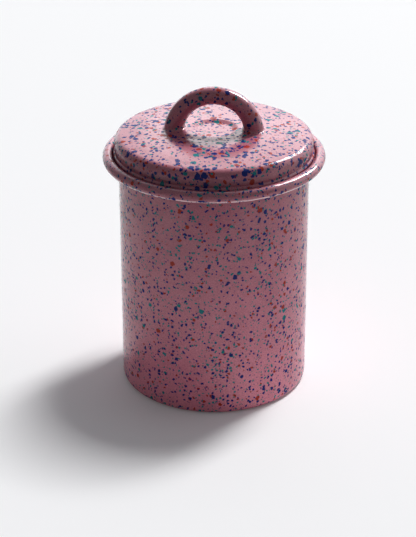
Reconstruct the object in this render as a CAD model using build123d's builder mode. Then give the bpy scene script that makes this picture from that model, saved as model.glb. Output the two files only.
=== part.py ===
from build123d import *
import os
from math import acos, copysign, cos, degrees, radians, sin

# Storage jar in enamelled steel: a drawn jar with a rolled rim, and a drop-in lid with a welded handle.
# Millimetres, +Z up, origin on the table under the middle of the jar, the handle's arch along X.

# Sizes of the jar
body_diameter = 120.0  # outside of the straight wall
rim_height = 157.5  # crest of the rolled rim above the table
sheet = 1.2  # steel with its enamel on both faces, jar and lid
base_corner = 4.0  # outside radius between base and wall
standing_ring = 9.0  # width of the flat ring that the jar stands on
base_lift = 1.5  # rise of the base inside that ring
base_bend = 6.0  # radius of the two bends in that rise
seat_width = 5.0  # how far the mouth is set out from the inside of the wall
seat_edge = 0.6  # radius under the rounded edge of the seat
seat_root = 0.8  # hollow corner between the seat and the mouth
seat_rise = 0.6  # straight height of the mouth above that corner
crest_bend = 1.3  # radius inside the rim's crest
rim_roll = 3.7  # outside radius of the rolled rim
roll_turn = 110.0  # turn of the rolled rim from its outermost line to its cut edge, in degrees
quarter_turn = 90.0  # a square bend, in degrees

# Sizes of the lid
lid_clearance = 0.6  # round the lid, in the mouth
seat_gap = 0.3  # under the lid, on its seat
bead_hollow = 1.0  # radius inside the lid's curled edge
bead_step = 0.9  # the curled edge stands out this far from the lid's side
bead_fillet = 0.8  # hollow corner above the curled edge
lid_side = 5.15  # straight height of the lid's side
shoulder = 5.2  # round between the side and the crown
crown_slope = 9.0  # fall of the crown at the shoulder, in degrees
lip_inset = 0.6  # the crown starts to fall this far inside the middle of the handle's feet
lip_width = 8.8  # flat ring between there and the finger dish
lip_bend = 3.0  # roundness of the dish's edge
dish_depth = 1.3  # finger dish below the flat ring
dish_slope = 22.0  # side of the dish, in degrees
dish_bend = 3.0  # fillet at the foot of the dish's side

# Sizes of the handle
handle_top = 11.0  # diameter of the tube at the top of the arch
handle_foot = 13.8  # diameter that the tube swells to, under the crown
handle_wall = 1.2  # wall of the tube
handle_bend = 25.1  # radius of the arch, to the middle of the tube
arch_sink = 3.0  # middle of the arch below the crown's flat ring
foot_dive = 20.0  # the arch runs on into the crown by this angle before its feet are trimmed, in degrees
vent_hole = 2.5  # diameter of the hole that lets hot air out of the tube when the enamel is fired
weld_leg = 1.8  # reach of the weld round each foot, out on the lid and up the tube
weld_edge = 0.3  # thickness of the weld at its edge on the lid

# Places in the jar that follow from these
wall_outside = body_diameter / 2
wall_inside = wall_outside - sheet
mouth = wall_inside + seat_width
seat_brink = sheet + seat_edge
crest_round = sheet + crest_bend
seat_height = rim_height - crest_round - seat_rise - seat_root
base_turn = degrees(acos(1 - base_lift / (2 * base_bend)))
panel_height = base_lift + sheet
panel_edge = wall_outside - base_corner - standing_ring - 2 * base_bend * sin(radians(base_turn))

# Places in the lid that follow from the jar's seat
lid_edge = mouth - lid_clearance
lid_bead = bead_hollow + sheet
bead_height = seat_height + seat_gap + lid_bead
bead_turn = degrees(acos(1 - bead_step / (lid_bead + bead_fillet)))
side_foot = bead_height + (lid_bead + bead_fillet) * sin(radians(bead_turn))
side_radius = lid_edge - bead_step
crown_edge = side_radius - shoulder * (1 - sin(radians(crown_slope)))
crown_edge_height = side_foot + lid_side + shoulder * cos(radians(crown_slope))
crown_start = handle_bend - lip_inset
crown_round = (crown_edge - crown_start) / sin(radians(crown_slope))
lip_height = crown_edge_height + crown_round * (1 - cos(radians(crown_slope)))
dish_floor = lip_height - dish_depth
dish_rounds = lip_bend + dish_bend
dish_run = (dish_depth - dish_rounds * (1 - cos(radians(dish_slope)))) / sin(radians(dish_slope))
dish_edge = crown_start - lip_width
floor_edge = dish_edge - dish_rounds * sin(radians(dish_slope)) - dish_run * cos(radians(dish_slope))

# Places in the handle that follow from the lid's crown
arch_height = lip_height - arch_sink
half_arch = quarter_turn + foot_dive
inside_foot = handle_foot - 2 * handle_wall
inside_top = handle_top - 2 * handle_wall
weld_foot = handle_foot + 2 * weld_leg
weld_top = handle_top + 2 * weld_leg


def draw_face(start, moves, inset=0.0):
    """Draws runs and bends from start, first along +X, and returns the end.
    A move is a run's length and 0, or a bend's radius and its turn in degrees, left positive.
    With an inset, the line runs that far to the right."""
    point = Vector(start) - Vector(0, inset)
    heading = Vector(1, 0)
    for size, turn in moves:
        if turn == 0:
            piece = Line(point, point + heading * size)
        else:
            piece = JernArc(point, heading, size + copysign(inset, turn), turn)
        point, heading = piece @ 1, piece % 1
    return point


def draw_sheet(start, moves):
    """Draws the closed outline of a bent sheet whose upper face starts at start."""
    face_end = draw_face(start, moves)
    back_end = draw_face(start, moves, sheet)
    Line(start, Vector(start) - Vector(0, sheet))
    Line(face_end, back_end)


# The jar's section follows its inside face from the middle of the base, over the rim, to the rolled edge
jar_moves = [
    (panel_edge, 0),
    (base_bend, -base_turn),
    (base_bend, base_turn),
    (standing_ring, 0),
    (base_corner - sheet, quarter_turn),
    (seat_height - seat_brink - base_corner, 0),
    (seat_brink, -quarter_turn),
    (seat_width - seat_brink - seat_root, 0),
    (seat_root, quarter_turn),
    (seat_rise, 0),
    (crest_round, -quarter_turn),
    (rim_roll, -quarter_turn),
    (rim_roll, -roll_turn),
]

# The lid's crown runs from the middle of the dish to its side, and its edge curls out, under and up again
crown_moves = [
    (floor_edge, 0),
    (dish_bend, dish_slope),
    (dish_run, 0),
    (lip_bend, -dish_slope),
    (lip_width, 0),
    (crown_round, -crown_slope),
    (shoulder, crown_slope - quarter_turn),
    (lid_side, 0),
]
edge_moves = [
    (bead_fillet, bead_turn),
    (lid_bead, -bead_turn - 2 * quarter_turn),
]

os.makedirs("parts", exist_ok=True)

with BuildPart() as jar_shell:
    with BuildSketch(Plane.XZ):
        with BuildLine():
            draw_sheet((0, panel_height), jar_moves)
        make_face()
    revolve(axis=Axis.Z)
jar_shell.part.label = "jar_shell"

with BuildPart() as lid_shell:
    with BuildSketch(Plane.XZ):
        with BuildLine():
            draw_sheet((0, dish_floor), crown_moves + edge_moves)
        make_face()
    revolve(axis=Axis.Z)
lid_shell.part.label = "lid_shell"

# Everything under the crown's upper face, down to the table, which trims the feet
with BuildPart() as under_crown:
    with BuildSketch(Plane.XZ):
        with BuildLine():
            crown_end = draw_face((0, dish_floor), crown_moves)
            Polyline((0, dish_floor), (0, 0), (crown_end.X, 0), crown_end)
        make_face()
    revolve(axis=Axis.Z)

# The arch as a bar that swells towards its feet, which the weld is laid round
with BuildPart() as arch_bar:
    with BuildLine(Plane.XZ) as arch_line:
        CenterArc((0, arch_height), handle_bend, -foot_dive, 2 * half_arch)
    for place, diameter in ((0, handle_foot), (0.5, handle_top), (1, handle_foot)):
        with BuildSketch(Plane(arch_line.line @ place, x_dir=(0, 1, 0), z_dir=arch_line.line % place)):
            Circle(diameter / 2)
    sweep(multisection=True)

with BuildPart() as handle:
    add(arch_bar.part)
    for place, diameter in ((0, inside_foot), (0.5, inside_top), (1, inside_foot)):
        with BuildSketch(Plane(arch_line.line @ place, x_dir=(0, 1, 0), z_dir=arch_line.line % place)):
            Circle(diameter / 2)
    sweep(path=arch_line.line, multisection=True, mode=Mode.SUBTRACT)
    add(under_crown.part, mode=Mode.SUBTRACT)
    below = (Align.CENTER, Align.CENTER, Align.MAX)
    with Locations((0, 0, arch_height + handle_bend)):
        Cylinder(vent_hole / 2, handle_top, align=below, mode=Mode.SUBTRACT)
handle.part.label = "handle"

# The weld follows the crown and the arch, and slopes from the tube down to the lid
with BuildPart() as right_foot_weld:
    with BuildLine(Plane.XZ) as right_line:
        CenterArc((0, arch_height), handle_bend, -foot_dive, half_arch)
    for place, diameter in ((0, weld_foot), (1, weld_top)):
        with BuildSketch(Plane(right_line.line @ place, x_dir=(0, 1, 0), z_dir=right_line.line % place)):
            Circle(diameter / 2)
    sweep(multisection=True)
    with Locations((0, 0, weld_leg)):
        add(under_crown.part, mode=Mode.INTERSECT)
    weld_line = right_foot_weld.edges(Select.LAST).filter_by(lambda edge: edge.center().Z > arch_height)
    chamfer(weld_line, weld_leg - weld_edge)
    add(under_crown.part, mode=Mode.SUBTRACT)
    add(arch_bar.part, mode=Mode.SUBTRACT)
right_foot_weld.part.label = "right_foot_weld"

with BuildPart() as left_foot_weld:
    mirror(right_foot_weld.part, about=Plane.YZ)
left_foot_weld.part.label = "left_foot_weld"

export_step(jar_shell.part, "parts/jar_shell.step")
export_step(lid_shell.part, "parts/lid_shell.step")
export_step(handle.part, "parts/handle.step")
export_step(left_foot_weld.part, "parts/left_foot_weld.step")
export_step(right_foot_weld.part, "parts/right_foot_weld.step")
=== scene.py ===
import math

import bpy
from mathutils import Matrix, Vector


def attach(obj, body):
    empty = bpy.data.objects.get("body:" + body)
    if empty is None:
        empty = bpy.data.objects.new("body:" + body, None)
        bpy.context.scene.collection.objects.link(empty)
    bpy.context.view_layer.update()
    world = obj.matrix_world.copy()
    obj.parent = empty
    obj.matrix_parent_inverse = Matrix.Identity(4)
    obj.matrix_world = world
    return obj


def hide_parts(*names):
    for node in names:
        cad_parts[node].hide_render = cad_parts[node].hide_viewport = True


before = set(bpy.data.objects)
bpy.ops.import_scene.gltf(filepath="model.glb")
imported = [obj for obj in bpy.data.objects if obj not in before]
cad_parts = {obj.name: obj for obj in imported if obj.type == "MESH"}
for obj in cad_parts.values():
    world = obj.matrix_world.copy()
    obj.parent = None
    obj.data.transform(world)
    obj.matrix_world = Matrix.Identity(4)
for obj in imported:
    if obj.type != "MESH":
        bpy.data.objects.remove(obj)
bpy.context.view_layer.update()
scene = bpy.context.scene
mm = 0.001
print("frame loaded:", ", ".join(sorted(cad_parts)))

sheetMesh = dict(longestRun=6.0, fewestSteps=3, sharpFrom=50.0)  # millimetres, steps in a bend, degrees


def bendSheet(start, moves, thickness, bendStep):
    # a move is (run, 0) or (bend radius, turn in degrees, left positive), from the sheet's middle out
    r, z = start
    heading = 0.0
    face = [(r, z, heading)]
    for size, turn in moves:
        if turn == 0:
            pieces = max(1, math.ceil(size / sheetMesh["longestRun"]))
            for k in range(pieces):
                r += math.cos(heading) * size / pieces
                z += math.sin(heading) * size / pieces
                face.append((r, z, heading))
            continue
        pieces = max(sheetMesh["fewestSteps"], math.ceil(abs(turn) / bendStep))
        side = math.copysign(1.0, turn)
        cr, cz = r - side * math.sin(heading) * size, z + side * math.cos(heading) * size
        for k in range(pieces):
            heading += math.radians(turn) / pieces
            r, z = cr + side * math.sin(heading) * size, cz - side * math.cos(heading) * size
            face.append((r, z, heading))
    upper = [(p, q) for p, q, h in face]
    under = [(p + math.sin(h) * thickness, q - math.cos(h) * thickness) for p, q, h in face]
    return upper, under


def makePiece(name, points, faces, body, node):
    # points in millimetres
    mesh = bpy.data.meshes.new(name)
    mesh.from_pydata([Vector(p) * mm for p in points], [], faces)
    mesh.shade_smooth()
    mesh.set_sharp_from_angle(angle=math.radians(sheetMesh["sharpFrom"]))
    piece = bpy.data.objects.new(name, mesh)
    scene.collection.objects.link(piece)
    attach(piece, body)
    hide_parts(node)
    return piece


def spinSheet(upper, under, steps):
    # the sheet's outline turned round the jar's axis; it starts and ends on the axis
    turns = [2 * math.pi * k / steps for k in range(steps)]
    rings = upper[1:] + under[:0:-1]
    points = [(0, 0, upper[0][1]), (0, 0, under[0][1])]
    for r, z in rings:
        points += [(r * math.cos(a), r * math.sin(a), z) for a in turns]
    faces = []
    last = 2 + (len(rings) - 1) * steps
    for k in range(steps):
        n = (k + 1) % steps
        faces.append((0, 2 + k, 2 + n))
        for first in range(2, last, steps):
            faces.append((first + k, first + steps + k, first + steps + n, first + n))
        faces.append((last + k, 1, last + n))
    return points, faces


# millimetres and degrees, here and for the lid and the handle
jar = dict(
    sheet=1.2, wallOutside=60.0, rimHeight=157.5,
    baseCorner=4.0, standingRing=9.0, baseLift=1.5, baseBend=6.0,
    seatWidth=5.0, seatEdge=0.6, seatRoot=0.8, seatRise=0.6, crestBend=1.3,
    rimRoll=3.69, rollTurn=110.0, steps=240, bendStep=4.0,
)


def buildJar():
    t = jar["sheet"]
    lift = math.degrees(math.acos(1 - jar["baseLift"] / (2 * jar["baseBend"])))
    panel = (jar["wallOutside"] - jar["baseCorner"] - jar["standingRing"]
             - 2 * jar["baseBend"] * math.sin(math.radians(lift)))
    brink = t + jar["seatEdge"]
    crest = t + jar["crestBend"]
    seat = jar["rimHeight"] - crest - jar["seatRise"] - jar["seatRoot"]
    moves = [
        (panel, 0), (jar["baseBend"], -lift), (jar["baseBend"], lift), (jar["standingRing"], 0),
        (jar["baseCorner"] - t, 90), (seat - brink - jar["baseCorner"], 0),
        (brink, -90), (jar["seatWidth"] - brink - jar["seatRoot"], 0), (jar["seatRoot"], 90),
        (jar["seatRise"], 0), (crest, -90),
        (jar["rimRoll"], -90), (jar["rimRoll"], -jar["rollTurn"]),
    ]
    upper, under = bendSheet((0, jar["baseLift"] + t), moves, t, jar["bendStep"])
    points, faces = spinSheet(upper, under, jar["steps"])
    return makePiece("jarShell", points, faces, "jar", "jar_shell")


jarShell = buildJar()
print("jar spun:", len(jarShell.data.polygons), "faces")


lid = dict(
    sheet=1.2, edge=63.2, seat=153.9,
    beadHollow=1.0, beadStep=0.9, beadFillet=0.8, side=5.15,
    shoulder=5.2, crownSlope=9.0, crownStart=24.5, lipWidth=8.8, lipBend=3.0,
    dishDepth=1.3, dishSlope=22.0, dishBend=3.0, brimRound=29.0, brimFall=7.0,
    steps=240, bendStep=3.0,
)


def lidMoves():
    bead = lid["beadHollow"] + lid["sheet"]
    beadTurn = math.acos(1 - lid["beadStep"] / (bead + lid["beadFillet"]))
    slope, dish = math.radians(lid["crownSlope"]), math.radians(lid["dishSlope"])
    sideFoot = lid["seat"] + bead + (bead + lid["beadFillet"]) * math.sin(beadTurn)
    crownEdge = lid["edge"] - lid["beadStep"] - lid["shoulder"] * (1 - math.sin(slope))
    crownRound = (crownEdge - lid["crownStart"]) / math.sin(slope)
    lip = sideFoot + lid["side"] + lid["shoulder"] * math.cos(slope) + crownRound * (1 - math.cos(slope))
    rounds = lid["lipBend"] + lid["dishBend"]
    run = (lid["dishDepth"] - rounds * (1 - math.cos(dish))) / math.sin(dish)
    floorEdge = lid["crownStart"] - lid["lipWidth"] - rounds * math.sin(dish) - run * math.cos(dish)
    # round the dish the sheet is drawn up into a low brim
    fall = math.radians(lid["brimFall"])
    brimRise = 2 * lid["brimRound"] * (1 - math.cos(fall))
    flat = lid["lipWidth"] - 2 * lid["brimRound"] * math.sin(fall)
    moves = [
        (floorEdge, 0), (lid["dishBend"], lid["dishSlope"]), (run, 0), (lid["lipBend"], -lid["dishSlope"]),
        (lid["brimRound"], -lid["brimFall"]), (lid["brimRound"], lid["brimFall"]), (flat, 0),
        (crownRound, -lid["crownSlope"]), (lid["shoulder"], lid["crownSlope"] - 90), (lid["side"], 0),
        (lid["beadFillet"], math.degrees(beadTurn)), (bead, -math.degrees(beadTurn) - 180),
    ]
    return lip, lip + brimRise - lid["dishDepth"], moves


lipHeight, dishFloor, moves = lidMoves()
lidUpper, lidUnder = bendSheet((0, dishFloor), moves, lid["sheet"], lid["bendStep"])
points, faces = spinSheet(lidUpper, lidUnder, lid["steps"])
lidShell = makePiece("lidShell", points, faces, "lid", "lid_shell")
print("lid spun:", len(lidShell.data.polygons), "faces, top ring at", round(lipHeight, 2), "mm")


handle = dict(
    top=10.99, foot=13.8, halfArch=110.0, wall=1.2, bend=25.1, sink=3.0, vent=2.5,
    around=72, along=120, rooted=0.05, footLow=-25.0, footHigh=40.0, halvings=40,
    ventSides=40, drillReach=0.4,
)
weld = dict(leg=1.8, rows=8, rooted=0.1, nudge=0.001)  # the nudge is in radians
archHeight = lipHeight - handle["sink"]


def crownHeight(r):
    for (r0, z0), (r1, z1) in zip(lidUpper, lidUpper[1:]):
        if r0 <= r <= r1 and r1 > r0:
            return z0 + (z1 - z0) * (r - r0) / (r1 - r0)
    return lidUpper[0][1]


def tubePoint(theta, phi, inset=0.0):
    # phi runs round the arch and theta round the tube, which swells towards its feet
    swell = ((math.degrees(phi) - 90) / handle["halfArch"]) ** 2
    radius = (handle["top"] + (handle["foot"] - handle["top"]) * swell) / 2 - inset
    reach = handle["bend"] + radius * math.cos(theta)
    return Vector((reach * math.cos(phi), radius * math.sin(theta), archHeight + reach * math.sin(phi)))


def footAngle(theta, inset, rooted):
    # where the line along the tube at theta meets the crown
    low, high = math.radians(handle["footLow"]), math.radians(handle["footHigh"])
    for k in range(handle["halvings"]):
        middle = (low + high) / 2
        p = tubePoint(theta, middle, inset)
        if p.z > crownHeight(math.hypot(p.x, p.y)) - rooted:
            high = middle
        else:
            low = middle
    return high


def buildHandle():
    around, along = handle["around"], handle["along"]
    points, faces = [], []
    for inset in (0.0, handle["wall"]):
        for j in range(around):
            theta = 2 * math.pi * j / around
            foot = footAngle(theta, inset, handle["rooted"])
            step = (math.pi - 2 * foot) / along
            points += [tubePoint(theta, foot + step * i, inset) for i in range(along + 1)]
    inner = around * (along + 1)
    for j in range(around):
        a, b = j * (along + 1), (j + 1) % around * (along + 1)
        for i in range(along):
            faces.append((a + i, b + i, b + i + 1, a + i + 1))
            faces.append((inner + a + i, inner + a + i + 1, inner + b + i + 1, inner + b + i))
        faces.append((a, inner + a, inner + b, b))
        faces.append((a + along, b + along, inner + b + along, inner + a + along))
    return makePiece("handleTube", points, faces, "lid", "handle")


def drillVent(piece):
    # the small hole under the arch that lets hot air out while the enamel is fired
    sides, radius = handle["ventSides"], handle["vent"] / 2
    middle, half = archHeight + handle["bend"] - handle["top"] / 2, handle["top"] * handle["drillReach"]
    turns = [2 * math.pi * k / sides for k in range(sides)]
    points = [(radius * math.cos(a), radius * math.sin(a), middle + h) for h in (-half, half) for a in turns]
    faces = [tuple(reversed(range(sides))), tuple(range(sides, 2 * sides))]
    faces += [(k, (k + 1) % sides, sides + (k + 1) % sides, sides + k) for k in range(sides)]
    mesh = bpy.data.meshes.new("ventDrill")
    mesh.from_pydata([Vector(p) * mm for p in points], [], faces)
    drill = bpy.data.objects.new("ventDrill", mesh)
    scene.collection.objects.link(drill)
    cut = piece.modifiers.new("vent", "BOOLEAN")
    cut.operation = "DIFFERENCE"
    cut.solver = "EXACT"
    cut.object = drill
    bpy.context.view_layer.update()
    drilled = bpy.data.meshes.new_from_object(piece.evaluated_get(bpy.context.evaluated_depsgraph_get()))
    piece.modifiers.remove(cut)
    piece.data = drilled
    bpy.data.objects.remove(drill)


def buildWeld(name, side, node):
    # a hollow fillet round one foot, from the tube out on to the crown
    points, faces = [], []
    around, ring = handle["around"], weld["rows"] + 2
    for j in range(around):
        theta = 2 * math.pi * j / around
        foot = footAngle(theta, 0.0, 0.0)
        corner = tubePoint(theta, foot)
        perAngle = (corner - tubePoint(theta, foot + weld["nudge"])).length / weld["nudge"]
        up = tubePoint(theta, foot + weld["leg"] / perAngle)
        away = Vector((math.cos(theta) * math.cos(foot), math.sin(theta), 0)).normalized()
        out = corner + away * weld["leg"]
        out.z = crownHeight(math.hypot(out.x, out.y))
        for k in range(weld["rows"] + 1):
            t = k / weld["rows"]
            points.append(up * (1 - t) ** 2 + corner * 2 * t * (1 - t) + out * t ** 2)
        points.append(corner - (away + Vector((0, 0, 1))) * weld["rooted"])
    points = [Vector((p.x * side, p.y, p.z)) for p in points]
    for j in range(around):
        a, b = j * ring, (j + 1) % around * ring
        for k in range(ring):
            m = (k + 1) % ring
            face = (a + k, a + m, b + m, b + k)
            faces.append(face if side > 0 else face[::-1])
    return makePiece(name, points, faces, "lid", node)


handleTube = buildHandle()
drillVent(handleTube)
leftWeld = buildWeld("leftFootWeld", -1, "left_foot_weld")
rightWeld = buildWeld("rightFootWeld", 1, "right_foot_weld")
print("handle bent and welded:", len(handleTube.data.polygons), "faces")


# heights, the edge, the warp and the bump in metres
enamel = dict(
    # painted light: the ground colour is scaled paler towards the base and darker above it, and the pale
    # band on the rim's lower edge is a painted highlight
    pink=(0.62, 0.205, 0.268, 1), pinkDeep=(0.44, 0.130, 0.180, 1), paintedRimHighlight=(0.95, 0.66, 0.70, 1),
    navy=(0.008, 0.020, 0.165, 1), teal=(0.012, 0.190, 0.220, 1), brick=(0.400, 0.035, 0.022, 1),
    paintedLightHeight=0.15, paintedLightBase=1.42, paintedShadeTop=0.90, grainAmount=2.2,
    edgeRadius=0.066, edgeHeight=0.1524, edgeFade=0.0008,
    warpReach=0.0026, patchLeast=0.65, patchSpread=0.7,
    smallestDrop=0.28, dropEdge=22.0, dropDome=6.0, dropRelief=0.12, dropGloss=0.35,
    ior=1.45, bumpDepth=0.0004,
)
# scale, in waves per metre, and detail of each noise
noises = dict(warp=(420.0, 2.0), clouds=(55.0, 3.0), grain=(1500.0, 2.0), ripple=(130.0, 1.0))
# throws of glaze: colour, drops per metre, reach, share, where it is moved to, which input sets its amount
throws = [
    ("brick", 205.0, 0.40, 0.20, 0.31, "Coarse"),
    ("brick", 360.0, 0.42, 0.26, 0.57, "Fine"),
    ("teal", 215.0, 0.40, 0.22, 1.13, "Coarse"),
    ("teal", 470.0, 0.43, 0.60, 1.71, "Fine"),
    ("navy", 220.0, 0.42, 0.28, 2.37, "Coarse"),
    ("navy", 430.0, 0.47, 0.74, 2.93, "Fine"),
]


def newGroup(name, inputs, outputs):
    group = bpy.data.node_groups.new(name, "ShaderNodeTree")
    for label, kind, value in inputs:
        socket = group.interface.new_socket(name=label, in_out="INPUT", socket_type=kind)
        if value is not None:
            socket.default_value = value
    for label, kind in outputs:
        group.interface.new_socket(name=label, in_out="OUTPUT", socket_type=kind)
    return group, group.nodes.new("NodeGroupInput"), group.nodes.new("NodeGroupOutput")


def mathNode(tree, operation, *values, clamp=False):
    node = tree.nodes.new("ShaderNodeMath")
    node.operation = operation
    node.use_clamp = clamp
    for socket, value in zip(node.inputs, values):
        if isinstance(value, (int, float)):
            socket.default_value = value
        else:
            tree.links.new(value, socket)
    return node.outputs[0]


def vectorNode(tree, operation, first, second):
    node = tree.nodes.new("ShaderNodeVectorMath")
    node.operation = operation
    tree.links.new(first, node.inputs[0])
    tree.links.new(second, node.inputs["Scale"] if operation == "SCALE" else node.inputs[1])
    return node.outputs[0]


def noiseNode(tree, where, name):
    noise = tree.nodes.new("ShaderNodeTexNoise")
    noise.inputs["Scale"].default_value, noise.inputs["Detail"].default_value = noises[name]
    tree.links.new(where, noise.inputs["Vector"])
    return noise


def mixColors(tree, amount, under, over):
    # a colour is a fixed value or another node's output
    mix = tree.nodes.new("ShaderNodeMix")
    mix.data_type = "RGBA"
    tree.links.new(amount, mix.inputs[0])
    for socket, color in ((mix.inputs[6], under), (mix.inputs[7], over)):  # the node's colour sockets
        if isinstance(color, tuple):
            socket.default_value = color
        else:
            tree.links.new(color, socket)
    return mix.outputs[2]


def mapRange(tree, value, fromMin, fromMax, toMin=0.0, toMax=1.0, kind="LINEAR"):
    node = tree.nodes.new("ShaderNodeMapRange")
    node.interpolation_type = kind
    for label, limit in (("From Min", fromMin), ("From Max", fromMax), ("To Min", toMin), ("To Max", toMax)):
        node.inputs[label].default_value = limit
    tree.links.new(value, node.inputs["Value"])
    return node.outputs[0]


def makeDropsGroup():
    # drops of one colour: Scale is drops per metre each way, Reach their radius in drops' spacing,
    # Share how many of them stay
    group, into, out = newGroup(
        "splatterDrops",
        [("Vector", "NodeSocketVector", None), ("Scale", "NodeSocketFloat", 300.0),
         ("Reach", "NodeSocketFloat", 0.25), ("Share", "NodeSocketFloat", 0.5),
         ("Shift", "NodeSocketFloat", 0.0)],
        [("Mask", "NodeSocketFloat"), ("Height", "NodeSocketFloat")])
    links = group.links
    cells = group.nodes.new("ShaderNodeTexVoronoi")
    cells.voronoi_dimensions = "3D"
    cells.feature = "F1"
    moved = vectorNode(group, "ADD", into.outputs["Vector"], into.outputs["Shift"])
    links.new(moved, cells.inputs["Vector"])
    links.new(into.outputs["Scale"], cells.inputs["Scale"])
    pick = group.nodes.new("ShaderNodeSeparateColor")
    links.new(cells.outputs["Color"], pick.inputs[0])
    kept = mathNode(group, "LESS_THAN", pick.outputs[0], into.outputs["Share"])
    smallest = enamel["smallestDrop"]
    spread = mathNode(group, "MULTIPLY_ADD", pick.outputs[1], 1 - smallest, smallest)
    radius = mathNode(group, "MULTIPLY", mathNode(group, "MULTIPLY", spread, into.outputs["Reach"]), kept)
    inside = mathNode(group, "SUBTRACT", radius, cells.outputs["Distance"])
    links.new(mathNode(group, "MULTIPLY", inside, enamel["dropEdge"], clamp=True), out.inputs["Mask"])
    links.new(mathNode(group, "MULTIPLY", inside, enamel["dropDome"], clamp=True), out.inputs["Height"])
    return group


def layGround(group, where, clouds):
    grain = noiseNode(group, where, "grain")
    grainy = mathNode(group, "SUBTRACT", grain.outputs["Fac"], 0.5)
    mottled = mathNode(group, "MULTIPLY_ADD", grainy, enamel["grainAmount"], clouds, clamp=True)
    ground = mixColors(group, mottled, enamel["pink"], enamel["pinkDeep"])
    split = group.nodes.new("ShaderNodeSeparateXYZ")
    group.links.new(where, split.inputs[0])
    x, y, z = split.outputs
    # painted light and shade: the ground is scaled paler towards the base, where the table's bounced light
    # falls, and darker from the rim up over the lid and handle
    paintedLightScale = mapRange(group, z, 0.0, enamel["paintedLightHeight"], enamel["paintedLightBase"], enamel["paintedShadeTop"])
    run = vectorNode(group, "SCALE", ground, paintedLightScale)
    # a painted highlight: a pale band over the rolled rim's lower edge, for the bright line along it
    wide = mathNode(group, "MULTIPLY_ADD", y, y, mathNode(group, "MULTIPLY", x, x))
    outer = mathNode(group, "GREATER_THAN", wide, enamel["edgeRadius"] ** 2)
    low = mapRange(group, z, enamel["edgeHeight"], enamel["edgeHeight"] - enamel["edgeFade"])
    return mixColors(group, mathNode(group, "MULTIPLY", outer, low), run, enamel["paintedRimHighlight"])


def makeEnamelGroup(drops):
    # pink ground with red, teal and navy drops, coarse and fine
    group, into, out = newGroup(
        "speckledEnamel",
        [(label, "NodeSocketFloat", 1.0) for label in ("Coarse", "Fine", "Teal", "Size")],
        [("Color", "NodeSocketColor"), ("Height", "NodeSocketFloat"), ("Gloss", "NodeSocketFloat")])
    links = group.links
    where = group.nodes.new("ShaderNodeTexCoord").outputs["Object"]
    clouds = noiseNode(group, where, "clouds").outputs["Fac"]
    color, height, gloss = layGround(group, where, clouds), None, 1.0

    # the drops' outlines are bent by a noise about its middle
    warp = enamel["warpReach"]
    centred = group.nodes.new("ShaderNodeVectorMath")
    centred.operation = "MULTIPLY_ADD"
    centred.inputs[1].default_value = (warp, warp, warp)
    centred.inputs[2].default_value = (-warp / 2, -warp / 2, -warp / 2)
    links.new(noiseNode(group, where, "warp").outputs["Color"], centred.inputs[0])
    bent = vectorNode(group, "ADD", where, centred.outputs[0])

    patches = mathNode(group, "MULTIPLY_ADD", clouds, enamel["patchSpread"], enamel["patchLeast"])
    sized = mathNode(group, "MULTIPLY", patches, into.outputs["Size"])
    dull = enamel["dropGloss"] - 1
    for name, scale, reach, share, shift, amount in throws:
        throw = group.nodes.new("ShaderNodeGroup")
        throw.node_tree = drops
        throw.inputs["Scale"].default_value = scale
        throw.inputs["Shift"].default_value = shift
        links.new(bent, throw.inputs["Vector"])
        links.new(mathNode(group, "MULTIPLY", sized, reach), throw.inputs["Reach"])
        thrown = mathNode(group, "MULTIPLY", into.outputs[amount], share)
        if name == "teal":
            thrown = mathNode(group, "MULTIPLY", thrown, into.outputs["Teal"])
        links.new(thrown, throw.inputs["Share"])
        mask, raised = throw.outputs["Mask"], throw.outputs["Height"]
        color = mixColors(group, mask, color, enamel[name])
        height = raised if height is None else mathNode(group, "MAXIMUM", height, raised)
        gloss = mathNode(group, "MINIMUM", gloss, mathNode(group, "MULTIPLY_ADD", mask, dull, 1.0))
    links.new(color, out.inputs["Color"])
    links.new(gloss, out.inputs["Gloss"])
    ripple = noiseNode(group, where, "ripple").outputs["Fac"]
    links.new(mathNode(group, "MULTIPLY_ADD", height, enamel["dropRelief"], ripple), out.inputs["Height"])
    return group


enamelGroup = makeEnamelGroup(makeDropsGroup())


def enamelMaterial(name, coarse, fine, teal, size, relief, roughness):
    material = bpy.data.materials.new(name)
    material.use_nodes = True
    tree = material.node_tree
    shader = tree.nodes["Principled BSDF"]
    shader.inputs["Specular IOR Level"].default_value = 0.0  # the gloss is all in the coat of glaze
    shader.inputs["Coat IOR"].default_value = enamel["ior"]
    shader.inputs["Coat Roughness"].default_value = roughness
    coat = tree.nodes.new("ShaderNodeGroup")
    coat.node_tree = enamelGroup
    for label, amount in (("Coarse", coarse), ("Fine", fine), ("Teal", teal), ("Size", size)):
        coat.inputs[label].default_value = amount
    bump = tree.nodes.new("ShaderNodeBump")
    bump.inputs["Strength"].default_value = relief
    bump.inputs["Distance"].default_value = enamel["bumpDepth"]
    tree.links.new(coat.outputs["Color"], shader.inputs["Base Color"])
    tree.links.new(coat.outputs["Gloss"], shader.inputs["Coat Weight"])
    tree.links.new(coat.outputs["Height"], bump.inputs["Height"])
    tree.links.new(bump.outputs["Normal"], shader.inputs["Normal"])
    tree.links.new(bump.outputs["Normal"], shader.inputs["Coat Normal"])
    return material


jarEnamel = enamelMaterial(
    "jarEnamel", coarse=0.6, fine=0.85, teal=1.3, size=1.0, relief=0.35, roughness=0.09)
lidEnamel = enamelMaterial(
    "lidEnamel", coarse=1.4, fine=0.75, teal=0.65, size=1.2, relief=0.6, roughness=0.2)
handleEnamel = enamelMaterial(
    "handleEnamel", coarse=1.2, fine=0.6, teal=0.75, size=1.1, relief=0.35, roughness=0.09)
laid = {jarShell: jarEnamel, lidShell: lidEnamel, handleTube: handleEnamel, leftWeld: handleEnamel,
        rightWeld: handleEnamel}
for piece, material in laid.items():
    piece.data.materials.clear()
    piece.data.materials.append(material)


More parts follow.
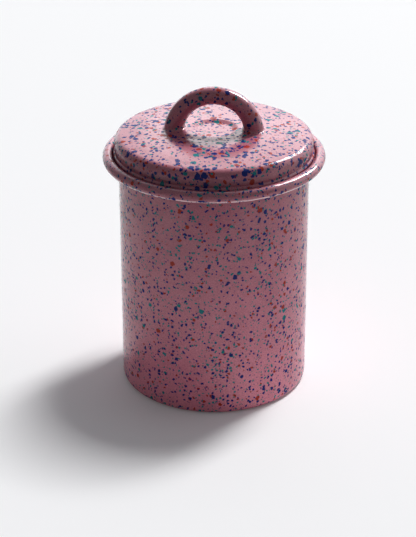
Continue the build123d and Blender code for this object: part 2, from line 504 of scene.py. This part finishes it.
# the table's edges in metres, angles in degrees
studio = dict(
    table=(0.87, 0.87, 0.875, 1), tableRoughness=0.85, tableGlow=0.05, tableTint=(1, 0.98, 1, 1),
    tableLeft=-0.4, tableRight=3.0, tableFront=-0.32, tableBack=3.0,
    sunAzimuth=70.0, sunElevation=44.0, sunStrength=3.6, sunAngle=12.0,
    worldAzimuth=60.0, worldStart=-0.05, worldEnd=0.65, worldFront=0.127, worldBack=0.62,
    worldMirror=2.3, worldWhite=0.93, worldTint=(0.92, 0.95, 1.0, 1),
)
# softboxes: direction in degrees, distance, size and the height that they aim at in metres, brightness
softboxes = dict(
    key=dict(azimuth=50.0, elevation=63.5, distance=8.0, width=1.2, height=3.2, aim=0.08, glow=44.667),
    window=dict(azimuth=48.0, elevation=41.0, distance=2.0, width=0.62, height=1.15, aim=0.17, glow=28.0),
    back=dict(azimuth=75.0, elevation=30.0, distance=2.2, width=2.05, height=1.2, aim=0.17, glow=1.5),
)
# the photo's camera: angles in degrees, metres, and the focal length and the jar's axis in its pixels
view = dict(
    azimuth=4.0, elevation=26.16, distance=1.200, height=0.07391, focal=1853.83, axisColumn=214.0,
    pictureWide=416, pictureTall=537, sensor=36.0,
)


def towards(azimuth, elevation):
    a, e = math.radians(azimuth), math.radians(elevation)
    return Vector((math.cos(a) * math.cos(e), math.sin(a) * math.cos(e), math.sin(e)))


def place(name, data, direction, distance=0.0, middle=(0, 0, 0)):
    # stands along a direction from the middle and looks back at it
    thing = bpy.data.objects.new(name, data)
    scene.collection.objects.link(thing)
    thing.location = Vector(middle) + direction * distance
    thing.rotation_mode = "QUATERNION"
    thing.rotation_quaternion = direction.to_track_quat("Z", "Y")
    return thing


def layTable():
    left, right, front, back = (studio["table" + side] for side in ("Left", "Right", "Front", "Back"))
    corners = [(left, front, 0), (right, front, 0), (right, back, 0), (left, back, 0)]
    mesh = bpy.data.meshes.new("table")
    mesh.from_pydata(corners, [], [(0, 1, 2, 3)])
    table = bpy.data.objects.new("table", mesh)
    scene.collection.objects.link(table)
    material = bpy.data.materials.new("tablePaper")
    material.use_nodes = True
    tree = material.node_tree
    shader = tree.nodes["Principled BSDF"]
    shader.inputs["Base Color"].default_value = studio["table"]
    shader.inputs["Roughness"].default_value = studio["tableRoughness"]
    shader.inputs["Specular IOR Level"].default_value = 0.0
    shader.inputs["Emission Color"].default_value = studio["tableTint"]
    # seen by the camera, the paper is a little paler than it is lit
    ray = tree.nodes.new("ShaderNodeLightPath")
    paler = mathNode(tree, "MULTIPLY", ray.outputs["Is Camera Ray"], studio["tableGlow"])
    tree.links.new(paler, shader.inputs["Emission Strength"])
    mesh.materials.append(material)
    return table


def addSoftbox(name):
    box = softboxes[name]
    lamp = bpy.data.lights.new(name, "AREA")
    lamp.shape = "RECTANGLE"
    lamp.size, lamp.size_y = box["width"], box["height"]
    lamp.energy = box["glow"] * math.pi * box["width"] * box["height"]
    direction = towards(box["azimuth"], box["elevation"])
    return place(name, lamp, direction, box["distance"], (0, 0, box["aim"]))


def lightOnly(lamp, things):
    receivers = bpy.data.collections.new(lamp.name + "Lights")
    for thing in things:
        receivers.objects.link(thing)
    lamp.light_linking.receiver_collection = receivers


def setLamps(table, pieces):
    # the tall key lights the table, for a shadow with sharp sides and a soft tip, and the lower sun the jar
    key = addSoftbox("key")
    light = bpy.data.lights.new("sun", "SUN")
    light.energy = studio["sunStrength"]
    light.angle = math.radians(studio["sunAngle"])
    sun = place("sun", light, towards(studio["sunAzimuth"], studio["sunElevation"]))
    for lamp, lit in ((key, [table]), (sun, pieces)):
        lamp.visible_glossy = False
        lightOnly(lamp, lit)
    for name in ("window", "back"):
        addSoftbox(name).visible_diffuse = False  # shows only where the enamel mirrors it


def setWorld():
    world = bpy.data.worlds.new("studio")
    scene.world = world
    world.use_nodes = True
    tree = world.node_tree
    back = tree.nodes["Background"]
    where = tree.nodes.new("ShaderNodeTexCoord")
    facing = tree.nodes.new("ShaderNodeVectorMath")
    facing.operation = "DOT_PRODUCT"
    facing.inputs[1].default_value = towards(studio["worldAzimuth"], 0)
    tree.links.new(where.outputs["Generated"], facing.inputs[0])
    rise = mapRange(tree, facing.outputs["Value"], studio["worldStart"], studio["worldEnd"],
                    studio["worldFront"], studio["worldBack"], "SMOOTHSTEP")
    # the enamel mirrors a white backdrop, and the camera sees it evenly white
    ray = tree.nodes.new("ShaderNodeLightPath")
    brighter = mathNode(tree, "MULTIPLY_ADD", ray.outputs["Is Glossy Ray"], studio["worldMirror"], 1.0)
    mirrored = mathNode(tree, "MULTIPLY", rise, brighter)
    seen = tree.nodes.new("ShaderNodeMix")
    tree.links.new(ray.outputs["Is Camera Ray"], seen.inputs[0])
    tree.links.new(mirrored, seen.inputs[2])
    seen.inputs[3].default_value = studio["worldWhite"]
    tree.links.new(seen.outputs[0], back.inputs["Strength"])
    back.inputs["Color"].default_value = studio["worldTint"]


def setCamera():
    # the picture's long side spans the sensor
    data = bpy.data.cameras.new("camera")
    data.sensor_width = view["sensor"]
    data.lens = view["focal"] * view["sensor"] / view["pictureTall"]
    data.shift_x = (view["pictureWide"] / 2 - view["axisColumn"]) / view["pictureTall"]
    direction = towards(view["azimuth"] - 90, view["elevation"])
    scene.camera = place("camera", data, direction, view["distance"], (0, 0, view["height"]))


setLamps(layTable(), list(laid))
setWorld()
setCamera()
scene.view_settings.view_transform = "Standard"
print("table, light and camera set")
